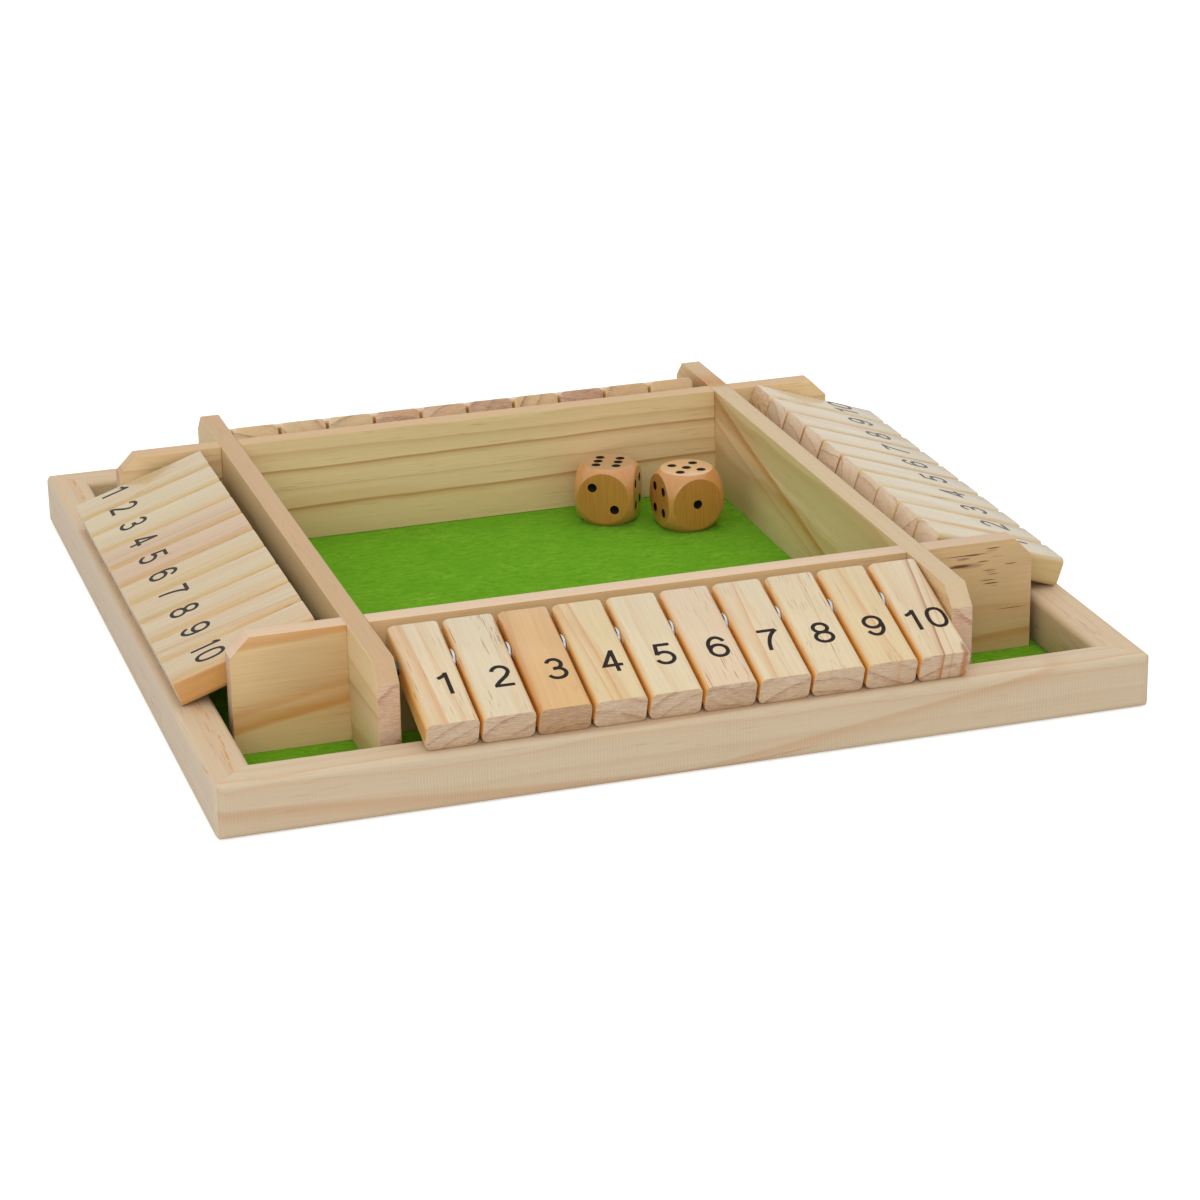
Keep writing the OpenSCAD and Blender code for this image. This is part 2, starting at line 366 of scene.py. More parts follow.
# depth in mm, smoother and duller how far the lines take the roughness down and up
steelLines = {"perMm": 1.6, "depth": 0.02, "bump": 0.25, "smoother": 0.06, "duller": 0.08}


def zincSteel(name, look):
    # Zinc-plated or drawn steel, a little blue, with fine turning and drawing lines. The washers are bright; the
    # rod's dark colours are painted shade
    material, tree = emptyMaterial(name)
    place = addNode(tree, "TexCoord")
    lines = addNode(tree, "TexNoise", {
        "Vector": place.outputs["Object"], "Scale": steelLines["perMm"] / mm, "Detail": 3.0})
    colour = addNode(tree, "Mix", {0: lines, 6: look["dark"], 7: look["light"]}, data_type="RGBA")
    relief = addNode(tree, "Bump", {
        "Strength": steelLines["bump"], "Distance": steelLines["depth"] * mm, "Height": lines})
    rough = addNode(tree, "MapRange", {
        "Value": lines, "To Min": look["roughness"] - steelLines["smoother"],
        "To Max": look["roughness"] + steelLines["duller"]})
    shader = addNode(tree, "BsdfPrincipled", {
        "Base Color": colour, "Metallic": 1.0, "Roughness": rough, "Normal": relief})
    addNode(tree, "OutputMaterial", {"Surface": shader})
    return material


feltLook = {
    "shade": "#4f9003", "light": "#83b92a", "cloud": "#5f9f0c",
    "fibresPerMm": (0.28, 0.9, 0.9), "cloudsPerMm": 0.06,
    "pile": 0.25, "bump": 0.6,        # pile in mm
    "shader": {"Roughness": 0.95, "Specular IOR Level": 0.05, "Sheen Weight": 0.04, "Sheen Roughness": 0.5},
    "cells": 136, "waves": 0.05, "seed": 3,   # grid cells on a side, and mm that the surface waves
    "thickShare": 0.8,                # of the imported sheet, which leaves room for the waves
    "smoothDegrees": 40,
}


def woolFelt():
    # Pressed craft felt: dull, mottled by matted fibres 0.1 mm thick, drawn coarser so that they show
    material, tree = emptyMaterial("pressedGreenFelt")
    place = addNode(tree, "TexCoord")
    perMetre = tuple(count / mm for count in feltLook["fibresPerMm"])
    longFibres = addNode(tree, "Mapping", {"Vector": place.outputs["Object"], "Scale": perMetre})
    fibres = addNode(tree, "TexNoise", {
        "Vector": longFibres, "Scale": 1.0, "Detail": 5.0, "Roughness": 0.75, "Distortion": 0.8})
    clouds = addNode(tree, "TexNoise", {
        "Vector": place.outputs["Object"], "Scale": feltLook["cloudsPerMm"] / mm, "Detail": 3.0})
    spread = addNode(tree, "MapRange", {"Value": fibres, "From Min": 0.34, "From Max": 0.66})
    matted = addNode(tree, "MapRange", {"Value": clouds, "From Min": 0.35, "From Max": 0.7, "To Max": 0.6})
    colour = addNode(tree, "Mix", {0: spread, 6: feltLook["shade"], 7: feltLook["light"]},
                     data_type="RGBA")
    colour = addNode(tree, "Mix", {0: matted, 6: colour, 7: feltLook["cloud"]}, data_type="RGBA")
    relief = addNode(tree, "Bump", {
        "Strength": feltLook["bump"], "Distance": feltLook["pile"] * mm, "Height": fibres})
    shader = addNode(tree, "BsdfPrincipled", {"Base Color": colour, "Normal": relief, **feltLook["shader"]})
    addNode(tree, "OutputMaterial", {"Surface": shader})
    return material


easeInMm = {"rail": 0.3, "board": 0.35, "tile": 0.4, "base": 0.15, "washer": 0.1}
copyLook = {"merge": 0.002, "flatDegrees": 0.6, "arrisDegrees": 35, "smoothDegrees": 30}   # merge in mm


# The CAD mesh is loose triangles: its corners are merged and its flat faces made whole again
def copyOfNode(node):
    bm = bmesh.new()
    bm.from_mesh(frame["nodes"][node].data)
    bmesh.ops.remove_doubles(bm, verts=bm.verts, dist=copyLook["merge"] * mm)
    bmesh.ops.dissolve_limit(bm, angle_limit=math.radians(copyLook["flatDegrees"]), verts=bm.verts,
                             edges=bm.edges, use_dissolve_boundaries=False, delimit=set())
    return bm


# A copy of a CAD node with its sharp arrises eased, as sandpaper leaves them
def easedPiece(node, name, ease, material, keepSharp=None):
    bm = copyOfNode(node)
    sharp = []
    for edge in bm.edges:
        if edge.is_manifold and edge.calc_face_angle() > math.radians(copyLook["arrisDegrees"]):
            middle = (edge.verts[0].co + edge.verts[1].co) / 2
            if keepSharp is None or not keepSharp(middle):
                sharp.append(edge)
    bmesh.ops.bevel(bm, geom=sharp, offset=ease, offset_type="OFFSET", affect="EDGES", segments=2,
                    profile=0.5, material=-1, clamp_overlap=True)
    mesh = meshFrom(bm, name)
    smoothByAngle(mesh, copyLook["smoothDegrees"])
    mesh.materials.append(material)
    attach(newObject(name, mesh), node)


def sideTurn(side):
    return Matrix.Rotation(math.radians(90 * side), 3, "Z")


railLook = {
    "early": "#d9c2a0", "blush": "#d3b896", "late": "#cb9c6c", "dash": "#a87040", "end": "#d2b090",
    "edge": "#ceb190", "edgeShare": 0.5, "ring": 4.5, "ringShare": 0.5, "warp": 4.0, "dashes": 0.15,
    "roughness": 0.55, "ribs": 0.035, "bump": 0.3, "fibre": 0.07, "lines": 0.15, "streak": "#cf9350",
}
# The bold lines that the photographed rails show: on the front face by height, on the left top by depth
railLooks = {
    "front": {"streaks": [(0.1, -0.056, 9.5, 0.5), (1.1, 0.14, 6.0, 0.45, 125.0),
                          (-0.2, 0.104, 0.9, 1.0, 40.0)], "streak": "#c09468", "wobble": 2.0,
              "early": "#dac8a9", "blush": "#d4be9f", "edge": "#c7b193"},
    "left": {"streaks": [(-142.3, 0.0, 1.8, 1.0)], "across": (0.0, 1.0, 0.0), "dashes": 0.5, "broken": True,
             "edge": "#d5c8b5"},
    "right": {"dashes": 0.4, "dash": "#8a6a40"},
}
railPith = {"front": (20.0, -95.0, -30.0), "right": (-40.0, -100.0, 14.0), "back": (10.0, -90.0, -25.0),
            "left": (0.0, -118.0, -18.0)}


# The rails meet on the box's diagonals, where their edges stay sharp so that the joint looks closed
def onMitre(point):
    return abs(abs(point.x) - abs(point.y)) < easeInMm["rail"] * mm


def makeRails():
    for side, sideName in enumerate(sideNames):
        wood = pine(f"planedPineRail_{sideName}", sideTurn(side).inverted(), railPith[sideName],
                    {**railLook, **railLooks.get(sideName, {})})
        easedPiece(f"{sideName}_rail", f"{sideName}_rail_pine", easeInMm["rail"] * mm, wood, onMitre)
    print("rails done")


boardLook = {
    "early": "#ead19c", "blush": "#e4c498", "late": "#cc9a58", "dash": "#8c5a28", "end": "#cea888",
    "endLate": "#a87250", "edge": "#d3af84", "edgeShare": 0.9, "ring": 12.0, "ringShare": 0.5, "warp": 12.0,
    "dashes": 0.2, "roughness": 0.5, "bump": 0.2, "lines": 0.18, "wobble": 3.0, "streak": "#b0762f",
}
# A board's streaks: height at its middle, rise per mm, width of the soft side (below when positive) and
# strength, and if there is a fifth value, where along the board they end
boardLooks = {
    "front": {"streaks": [(33.6, 0.174, -9.0, 0.7, -85.0), (41.0, 0.19, -8.0, 0.4, -85.0),
                          (46.0, 0.06, -9.0, 0.6, -85.0), (1.1, 0.06, 6.0, 0.7)], "streak": "#c88434",
              "early": "#dec08b", "blush": "#dbb382", "dash": "#6e3812", "edge": "#e4c7a8",
              "streakEdge": 0.2,
              "marks": [(30.0, -108.0, 11.0, 22.0, 0.15), (22.0, 115.0, 60.0, 40.0, 0.17),
                        (17.5, 127.0, 0.2, 8.0, 0.95), (39.1, 119.8, 0.3, 2.8, 0.9),
                        (38.3, 119.2, 0.2, 2.4, 0.5), (37.6, 110.5, 0.22, 9.5, 0.9),
                        (37.5, 112.5, 0.35, 3.0, 0.9), (36.4, 109.2, 0.5, 3.0, 0.6),
                        (36.1, 121.0, 0.2, 3.4, 0.45), (34.9, 116.2, 0.3, 2.6, 0.9),
                        (34.1, 108.0, 0.75, 5.0, 1.0), (33.8, 111.5, 1.1, 5.5, 0.4),
                        (33.0, 126.0, 0.25, 2.6, 0.85), (31.6, 118.4, 0.25, 3.0, 0.8),
                        (30.9, 119.0, 0.2, 2.6, 0.6), (30.1, 119.8, 0.25, 2.8, 0.7),
                        (28.2, 118.0, 0.28, 3.8, 0.95), (27.0, 119.2, 0.3, 3.4, 1.0),
                        (26.0, 120.4, 0.2, 2.0, 0.5)]},
    "right": {"streaks": [(20.2, 0.213, 8.0, 0.75), (13.0, 0.19, 4.0, 0.35)], "streak": "#c07c28",
              "edge": "#d0b792", "end": "#cdac92"},
    "back": {"streaks": [(30.4, -0.008, 2.6, 0.75), (16.2, -0.015, 3.0, 0.8), (23.0, -0.004, 1.6, 0.3),
                         (36.0, 0.004, 4.0, 0.3)], "dashes": 0.25, "dash": "#96662f", "ringShare": 0.3},
    "left": {"streaks": [(18.0, 0.05, 3.0, 0.4)], "edge": "#c6a178"},
}
boardPith = {"front": (0.0, -128.0, -20.0), "right": (30.0, -60.0, 2.0), "back": (-25.0, -55.0, 10.0),
             "left": (15.0, -65.0, -6.0)}


def makeBoards():
    for side, sideName in enumerate(sideNames):
        look = {**boardLook, **boardLooks[sideName], "up": sideTurn(side) @ Vector((0.0, 1.0, 0.0))}
        wood = pine(f"planedPineBoard_{sideName}", sideTurn(side).inverted(), boardPith[sideName], look)
        easedPiece(f"{sideName}_wall", f"{sideName}_wall_pine", easeInMm["board"] * mm, wood)
    print("boards done")


# On the tiles the edge colour, on their sides and rounded edges, is partly the deeper golden tone of the lacquered
# wood there and partly painted shade: it stands in for the orange glow in the narrow gaps between the tiles.
tileLook = {
    "early": "#ddcba0", "blush": "#d8c19c", "late": "#cc9650", "dash": "#9c6632", "end": "#c4a47e",
    "endLate": "#a06c44", "edge": "#eaa94a", "edgeShare": 0.85, "ring": 6.0, "ringShare": 0.7, "warp": 5.0,
    "dashes": 0.55, "roughness": 0.40, "coat": 1.0, "coatRoughness": 0.14, "bump": 0.2, "wobble": 2.5,
    "streak": "#cd8f42", "scratch": "#deceb8",
    "across": (0.0, -1.0, 0.0), "alongs": (-1.0, 0.0, 0.0),
}
# The right row's paler ends and the back row's lighter ends are painted light: these inner ends face up towards
# the lamps, and are lighter than the front row's outer ends, which face down.
rowLooks = {
    "front": {},
    "right": {"early": "#d8caa7", "blush": "#d4c2a4", "coat": 0.55, "edge": "#dfbc72", "edgeShare": 0.7,
              "end": "#e6c8a4", "endLate": "#b98a60", "scratch": "#eedfca"},
    "back": {"end": "#d0ab7c", "endLate": "#8c5a30", "scratch": "#dcc09a", "edge": "#dca850"},
    "left": {"early": "#cebb8a", "blush": "#c4a777", "edge": "#d6ad60", "edgeShare": 0.7, "lines": 0.42},
}
# What sets single tiles apart on the photographed box. A streak is given by its mm to the right of
# the tile's middle, its lean to the right per mm outwards, its width and its strength; a mark by its
# mm to the right and outwards, half its width and length, and its strength.
# The edge colours given here are, as on every tile, partly painted shade.
tileLooks = {
    ("front", 1): {"streaks": [(-3.0, 0.02, 6.0, 0.7), (2.5, 0.05, 0.8, 0.5)], "dashes": 0.7},
    ("front", 2): {"early": "#dacaa4", "blush": "#d6c19c", "dashes": 0.8, "ringShare": 0.3},
    ("front", 3): {"early": "#d8ab68", "blush": "#d2a25e", "late": "#b97632", "edge": "#d08a38",
                   "end": "#ac8459", "scratch": "#c8ab88"},
    ("front", 4): {"early": "#dcc794", "blush": "#d5ba88",
                   "streaks": [(-1.6, 0.02, 2.6, 0.8), (-4.6, 0.03, 1.8, 0.6)]},
    ("front", 5): {"ringShare": 0.3, "dashes": 0.2},
    ("front", 6): {"early": "#dcc5a2", "blush": "#d9bb94", "dash": "#a8642f", "dashes": 0.9,
                   "end": "#b8946c"},
    ("front", 7): {"streaks": [(-2.2, -0.05, 2.2, 0.6), (0.6, 0.02, 1.0, 0.35)]},
    ("front", 8): {"streaks": [(1.6, -0.02, 0.8, 0.6)], "dashes": 0.7},
    ("front", 9): {"early": "#dac594", "blush": "#d7b887", "streaks": [(1.0, 0.08, 2.2, 0.6)],
                   "streakEnd": 0.7},
    ("front", 10): {"streaks": [(2.0, -0.06, 2.0, 1.0), (4.6, -0.05, 0.9, 0.5)], "streak": "#ad6a2c",
                    "streakEnd": 1.0, "marks": [(7.7, 22.0, 1.6, 4.0, 0.9)]},
    ("left", 4): {"early": "#c6ab76", "blush": "#c1986a", "streaks": [(3.0, 0.0, 4.0, 0.5)],
                  "streak": "#b5805a"},
    ("left", 5): {"early": "#c9a676", "blush": "#c09668", "dashes": 0.8},
    ("left", 6): {"early": "#cab57e", "blush": "#c2a56e", "streaks": [(5.0, 0.0, 3.0, 0.4)]},
    ("left", 7): {"streaks": [(-3.5, 0.0, 3.0, 0.6)]},
    ("left", 8): {"streaks": [(-4.5, 0.0, 2.0, 0.7), (3.5, 0.02, 3.0, 0.4)]},
    ("left", 9): {"blush": "#c6a577", "streaks": [(4.0, -0.03, 2.5, 0.8), (0.5, 0.0, 1.2, 0.5)],
                  "streak": "#b98a4c"},
    ("left", 10): {"edge": "#cf944c", "edgeShare": 0.9, "streaks": [(5.5, 0.0, 5.0, 0.7)],
                   "streak": "#d29a5c"},
    ("right", 1): {"edge": "#c8a868", "edgeShare": 0.9},
    ("right", 6): {"edge": "#bf7a34", "edgeShare": 0.9},
    ("right", 7): {"endLate": "#a2542c", "edge": "#c98c44", "edgeShare": 0.85},
    ("right", 8): {"edge": "#c98c44", "edgeShare": 0.85},
    ("right", 9): {"edge": "#cc9450", "edgeShare": 0.8},
    ("right", 10): {"end": "#d2a468", "endLate": "#ad6d30"},
}
# The back row's end colours differ from tile to tile with the wood, and are on the whole lighter than the front
# row's as painted light.
backEnds = ["#dab47c", "#d2a874", "#b98768", "#d6b27c", "#bd8f6c",
            "#cfa67c", "#c99a72", "#dcc090", "#d8b888", "#dcbb84"]
tileLooks.update({("back", number): {"end": end} for number, end in zip(tileNumbers, backEnds)})


tileThickness = 10.0 * mm


def tileSlopeFromBox():
    # The box of a sloping bar is length cos + thickness sin wide and length sin + thickness cos high
    low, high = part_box("front_tile_1")
    width = high.y - low.y
    height = high.z - low.z
    reach = math.hypot(width, height)
    slope = math.atan2(height, width) * 0.6   # a first guess, made exact by the rounds below
    for _ in range(30):
        length = (width - tileThickness * math.sin(slope)) / math.cos(slope)
        slope += (height - length * math.sin(slope) - tileThickness * math.cos(slope)) / reach * 0.8
    return slope, length


tileSlope, tileLength = tileSlopeFromBox()


# Turn from the tile's own axes to the frame, and its middle
def tileFrame(side, number):
    low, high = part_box(f"{sideNames[side]}_tile_{number}")
    return sideTurn(side) @ Matrix.Rotation(tileSlope, 3, "X"), (low + high) / 2


# How much the grain differs from tile to tile: degrees that it leans and swings, mm from the tile's
# middle to the pith, and the span of the looks that are drawn
tileSpread = {
    "seed": 7, "lean": 2.5, "swing": 3.0, "pithAlong": 30.0, "pithAcross": 26.0, "pithBelow": (12.0, 60.0),
    "ring": (3.5, 7.5), "ringShare": (0.45, 0.85), "dashes": (0.1, 0.7), "boreRadius": 2.6,
}


def makeTiles():
    draw = random.Random(tileSpread["seed"])

    def within(name):
        return draw.uniform(-tileSpread[name], tileSpread[name])

    for side, sideName in enumerate(sideNames):
        for number in tileNumbers:
            node = f"{sideName}_tile_{number}"
            turn, middle = tileFrame(side, number)
            hinge = Vector(next(j for j in frame["joints"] if j["child"] == node)["pos_m"])
            lean = Euler((0.0, math.radians(within("lean")), math.radians(within("swing")))).to_matrix()
            grainTurn = lean @ Matrix.Rotation(math.radians(-90), 3, "Z") @ turn.inverted()
            nearest, deepest = tileSpread["pithBelow"]
            toPith = Vector((within("pithAlong"), within("pithAcross"), draw.uniform(-deepest, -nearest)))
            pith = grainTurn @ (middle / mm) + toPith
            look = {**tileLook, **rowLooks[sideName],
                    "up": turn @ Vector((0.0, 0.0, 1.0)),
                    **{name: draw.uniform(*tileSpread[name]) for name in ("ring", "ringShare", "dashes")}}
            look.update(tileLooks.get((sideName, number), {}))
            wood = pine(f"lacqueredPineTile_{sideName}_{number}", grainTurn, pith, look, pith - toPith)
            axis = turn @ Vector((1.0, 0.0, 0.0))

            def nearBore(point):
                away = point - hinge
                return (away - axis * away.dot(axis)).length < tileSpread["boreRadius"] * mm

            easedPiece(node, f"{node}_pine", easeInMm["tile"] * mm, wood, nearBore)
    print("tiles done")


# In mm: film is how far the print stands up, sunk how far it reaches into the wood, advance the step
# from one figure to the next, overlap the step in height where strokes cross, cut the width of the
# strips that bend over the tile's rounded edge, and rounding that edge's radius
numberLook = {"height": 10.0, "figure": 6.5, "widen": 1.06, "stroke": 1.3, "film": 0.03, "sunk": 0.02,
              "overlap": 0.004, "merge": 0.001, "advance": 7.5, "rounding": 2.2, "cut": 0.4, "cuts": 6}
# Middle of the number: mm from the tile's inner end, mm to the reader's right at tile 1, step per tile
numberPlace = {
    "front": (30.0, 2.6, -0.31),
    "right": (33.5, 2.2, -0.3),
    "back": (32.0, 1.6, -0.25),
    "left": (33.4, -3.2, 0.0),
}
numberNudges = {("left", 10): 1.3}   # mm to the reader's right, which keeps all of it on its tile


# Points along an oval, in degrees from the right. square above 2 fills its corners
def arc(cx, cy, rx, ry, start, end, square=2.0):
    steps = max(6, int(abs(end - start) / 6))
    points = []
    for i in range(steps + 1):
        a = math.radians(start + (end - start) * i / steps)
        c, s = math.cos(a), math.sin(a)
        points.append((cx + rx * math.copysign(abs(c) ** (2 / square), c),
                       cy + ry * math.copysign(abs(s) ** (2 / square), s)))
    return points


# Centre lines of the strokes, in mm on a figure 10 mm high
strokesOf = {
    "0": [arc(3.25, 5.0, 2.6, 4.35, 0, 354, 2.35)],
    "1": [[(3.9, 0.0), (3.9, 10.0)], [(4.1, 9.6), (3.2, 8.65), (2.3, 8.0), (1.25, 7.55)]],
    "2": [arc(3.2, 7.05, 2.35, 2.32, 172, -18)
          + [(4.6, 4.9), (3.3, 3.6), (1.9, 2.3), (1.0, 1.1), (0.8, 0.3)],
          [(0.2, 0.6), (6.1, 0.6)]],
    "3": [arc(3.05, 7.2, 2.1, 2.18, 163, -90) + [(2.3, 5.03)], arc(3.05, 2.93, 2.6, 2.33, 96, -163)],
    "4": [[(4.75, 10.2), (0.95, 3.0), (6.5, 3.0)], [(4.55, 0.0), (4.55, 10.0)]],
    "5": [[(5.9, 9.38), (1.65, 9.38), (1.05, 4.75)], arc(3.1, 3.25, 2.65, 2.65, 142, -163)],
    "6": [arc(3.3, 3.25, 2.55, 2.63, 0, 354), arc(3.45, 5.0, 2.75, 4.38, 196, 32)],
    "7": [[(0.35, 9.38), (6.1, 9.38)], arc(8.9, -0.4, 6.75, 10.6, 178, 112)],
    "8": [arc(3.25, 7.3, 2.15, 2.08, 0, 354), arc(3.25, 2.9, 2.6, 2.3, 0, 354)],
    "9": [arc(3.2, 6.75, 2.55, 2.63, 0, 354), arc(3.05, 5.0, 2.75, 4.38, 16, -148)],
}
closedStrokes = {("0", 0), ("6", 0), ("8", 0), ("8", 1), ("9", 0)}   # figure, place in its list


def strokeObject(name, path, closed, lift):
    bm = bmesh.new()
    verts = [bm.verts.new((x * numberLook["widen"] * mm, y * mm, 0.0)) for x, y in path]
    edges = [bm.edges.new(pair) for pair in zip(verts, verts[1:])]
    if closed:
        edges.append(bm.edges.new((verts[-1], verts[0])))
    raised = bmesh.ops.extrude_edge_only(bm, edges=edges)["geom"]
    thick = (numberLook["film"] + numberLook["sunk"]) * mm
    bmesh.ops.translate(bm, verts=[v for v in raised if isinstance(v, bmesh.types.BMVert)],
                        vec=(0.0, 0.0, thick + lift))
    piece = newObject(name, meshFrom(bm, name))
    wide = piece.modifiers.new("width", "SOLIDIFY")
    wide.thickness = numberLook["stroke"] * mm
    wide.offset = 0.0
    wide.use_even_offset = True
    return piece


def evaluatedMesh(piece):
    graph = bpy.context.evaluated_depsgraph_get()
    return bpy.data.meshes.new_from_object(piece.evaluated_get(graph))


# One printed figure as a closed solid film, lower left corner at the origin
def figureMesh(figure):
    parts = []
    for i, path in enumerate(strokesOf[figure]):
        lift = i * numberLook["overlap"] * mm   # no two tops lie in one plane, so the union holds
        parts.append(strokeObject(f"stroke_{figure}_{i}", path, (figure, i) in closedStrokes, lift))
    for other in parts[1:]:
        joined = parts[0].modifiers.new("join", "BOOLEAN")
        joined.operation = "UNION"
        joined.solver = "EXACT"
        joined.object = other
    mesh = evaluatedMesh(parts[0])
    for part in parts:
        bpy.data.objects.remove(part)
    bm = bmesh.new()
    bm.from_mesh(mesh)
    top = numberLook["height"] * mm
    # Stroke ends are cut off level at the foot, at the top and on the left
    for point, normal in (((0, 0, 0), (0, -1, 0)), ((0, top, 0), (0, 1, 0)), ((0, 0, 0), (-1, 0, 0))):
        cut = bmesh.ops.bisect_plane(bm, geom=everyPart(bm), plane_co=point, plane_no=normal,
                                     clear_outer=True)
        rim = [e for e in cut["geom_cut"] if isinstance(e, bmesh.types.BMEdge) and e.is_boundary]
        if rim:
            bmesh.ops.holes_fill(bm, edges=rim, sides=0)
    bmesh.ops.remove_doubles(bm, verts=bm.verts, dist=numberLook["merge"] * mm)
    bmesh.ops.recalc_face_normals(bm, faces=bm.faces)
    bm.to_mesh(mesh)
    bm.free()
    return mesh


# Print that runs past the flat of the face follows the tile's rounded edge. Face at z = 0, middle at x = 0
def wrapOverEdges(bm, flatHalf):
    radius = numberLook["rounding"] * mm
    for side in (-1, 1):
        for cut in range(numberLook["cuts"]):
            place = (side * (flatHalf + cut * numberLook["cut"] * mm), 0, 0)
            bmesh.ops.bisect_plane(bm, geom=everyPart(bm), plane_co=place, plane_no=(1, 0, 0))
    for vert in bm.verts:
        past = abs(vert.co.x) - flatHalf
        if past > 0.0:
            bend, reach = past / radius, radius + vert.co.z
            vert.co.x = math.copysign(flatHalf + reach * math.sin(bend), vert.co.x)
            vert.co.z = reach * math.cos(bend) - radius


def makeNumbers(ink):
    figures = {figure: figureMesh(figure) for figure in strokesOf}
    low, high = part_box("front_tile_1")
    flatHalf = (high.x - low.x) / 2 - numberLook["rounding"] * mm
    for side, sideName in enumerate(sideNames):
        fromInner, rightAtFirst, perTile = numberPlace[sideName]
        for number in tileNumbers:
            node = f"{sideName}_tile_{number}"
            turn, middle = tileFrame(side, number)
            bm = bmesh.new()
            text = str(number)
            wide = numberLook["advance"] * (len(text) - 1) + numberLook["figure"] * numberLook["widen"]
            for place, figure in enumerate(text):
                start = len(bm.verts)
                bm.from_mesh(figures[figure])
                bm.verts.ensure_lookup_table()
                step = (place * numberLook["advance"] * mm, 0, 0)
                bmesh.ops.translate(bm, verts=bm.verts[start:], vec=step)
            nudge = numberNudges.get((sideName, number), 0.0)
            across = rightAtFirst + perTile * (number - 1) - wide / 2 + nudge
            outwards = fromInner * mm - tileLength / 2
            corner = (across * mm, -outwards - numberLook["height"] / 2 * mm, -numberLook["sunk"] * mm)
            bmesh.ops.translate(bm, verts=bm.verts, vec=corner)
            wrapOverEdges(bm, flatHalf)
            onFace = Matrix.Translation(middle) @ turn.to_4x4()
            onFace = onFace @ Matrix.Translation((0.0, 0.0, tileThickness / 2))
            bmesh.ops.transform(bm, verts=bm.verts, matrix=onFace)
            mesh = meshFrom(bm, f"{node}_number")
            mesh.materials.append(ink)
            piece = newObject(f"{node}_number", mesh)
            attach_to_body(piece, bodyOfNode[node])
    print("numbers done")


dieLook = {
    "flatDiameter": 19.0,
    "flat": "#c68a40", "flatDark": "#b27434", "round": "#c98846", "roundLight": "#d79a5a",
    "shader": {"Roughness": 0.32, "Coat Weight": 0.6, "Coat Roughness": 0.12},
    "relief": 0.1, "bump": 0.12,          # relief in mm
    "pip": 3.4, "pipDepth": 0.5,          # mm across and deep
    "spread": 4.05, "sixPitch": 4.3, "sixSpread": 3.7,
    "ease": 0.3, "grainAcross": 2.2, "grainAlong": 0.08,   # ease in mm, grain per mm
    "ballSegments": (96, 64), "pipSegments": (28, 18),
    "merge": 0.005, "rimDegrees": 25, "smoothDegrees": 24,   # merge in mm
    "near": 0.01, "pipFacing": 0.93,      # a pip's face: mm off its ball, and least share of its radius
}
enamelLook = {"dark": "#060505", "light": "#12100e", "grain": 1.5,   # grain per mm
              "shader": {"Roughness": 0.5, "Specular IOR Level": 0.1}}
diceTurned = {
    # turn in degrees, colour of the top, and the figure on each face of the die's own axes
    "left_die": {"turn": -28.0, "top": "#bb8f62",
                 "faces": {"+z": 6, "-z": 1, "-y": 2, "+y": 5, "-x": 3, "+x": 4}},
    "right_die": {"turn": 3.0, "top": "#e0b27a",
                  "faces": {"+z": 5, "-z": 2, "-y": 1, "+y": 6, "-x": 4, "+x": 3}},
}
# outward, right and up of each face, seen from outside
faceAxes = {
    "+z": ((0, 0, 1), (1, 0, 0), (0, 1, 0)), "-z": ((0, 0, -1), (1, 0, 0), (0, -1, 0)),
    "-y": ((0, -1, 0), (1, 0, 0), (0, 0, 1)), "+y": ((0, 1, 0), (-1, 0, 0), (0, 0, 1)),
    "-x": ((-1, 0, 0), (0, -1, 0), (0, 0, 1)), "+x": ((1, 0, 0), (0, 1, 0), (0, 0, 1)),
}


def pipPlaces(figure):
    s = dieLook["spread"]
    if figure == 6:
        return [(x, y) for x in (-dieLook["sixSpread"], dieLook["sixSpread"])
                for y in (-dieLook["sixPitch"], 0.0, dieLook["sixPitch"])]
    places = [(0.0, 0.0)] if figure % 2 else []
    if figure >= 2:
        places += [(-s, s), (s, -s)]
    if figure >= 4:
        places += [(s, s), (-s, -s)]
    return places


